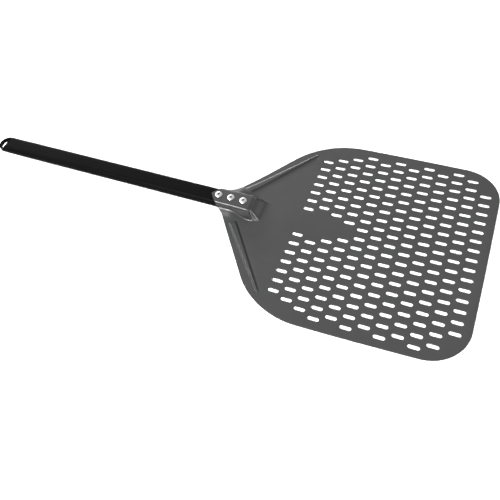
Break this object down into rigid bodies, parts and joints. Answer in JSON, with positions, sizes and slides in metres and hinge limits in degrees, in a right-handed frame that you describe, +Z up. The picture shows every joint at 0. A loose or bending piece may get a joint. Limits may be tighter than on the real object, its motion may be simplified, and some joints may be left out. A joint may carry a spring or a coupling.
{
  "type": "pizza peel",
  "caption": "Perforated flat metal peel with a rounded square blade, a pressed channel tang riveted to a flat oval tube handle, and a moulded hanging loop in the handle's end.",
  "frame": {"origin": "centre of the square carrying area, on the underside of the blade", "axes": "+X towards the blade's front edge, +Y across the blade, +Z up, away from the surface that the blade lies on; the handle runs towards -X"},
  "size_m": [0.8052, 0.3328, 0.0331],
  "materials": {
    "anodised_sheet": "hard anodised, dark grey, satin",
    "anodised_tube": "anodised, black, satin",
    "cap_plastic": "moulded, black, glossy",
    "rivet_metal": "bright, smooth",
    "mandrel_steel": "dull, broken end"
  },
  "bodies": {
    "root": {"blade": "anodised_sheet", "handle_tube": "anodised_tube", "end_cap": "cap_plastic", "rear_rivet": "rivet_metal", "middle_rivet": "rivet_metal", "front_rivet": "rivet_metal", "rear_rivet_mandrel": "mandrel_steel", "middle_rivet_mandrel": "mandrel_steel", "front_rivet_mandrel": "mandrel_steel"}
  },
  "joints": []
}
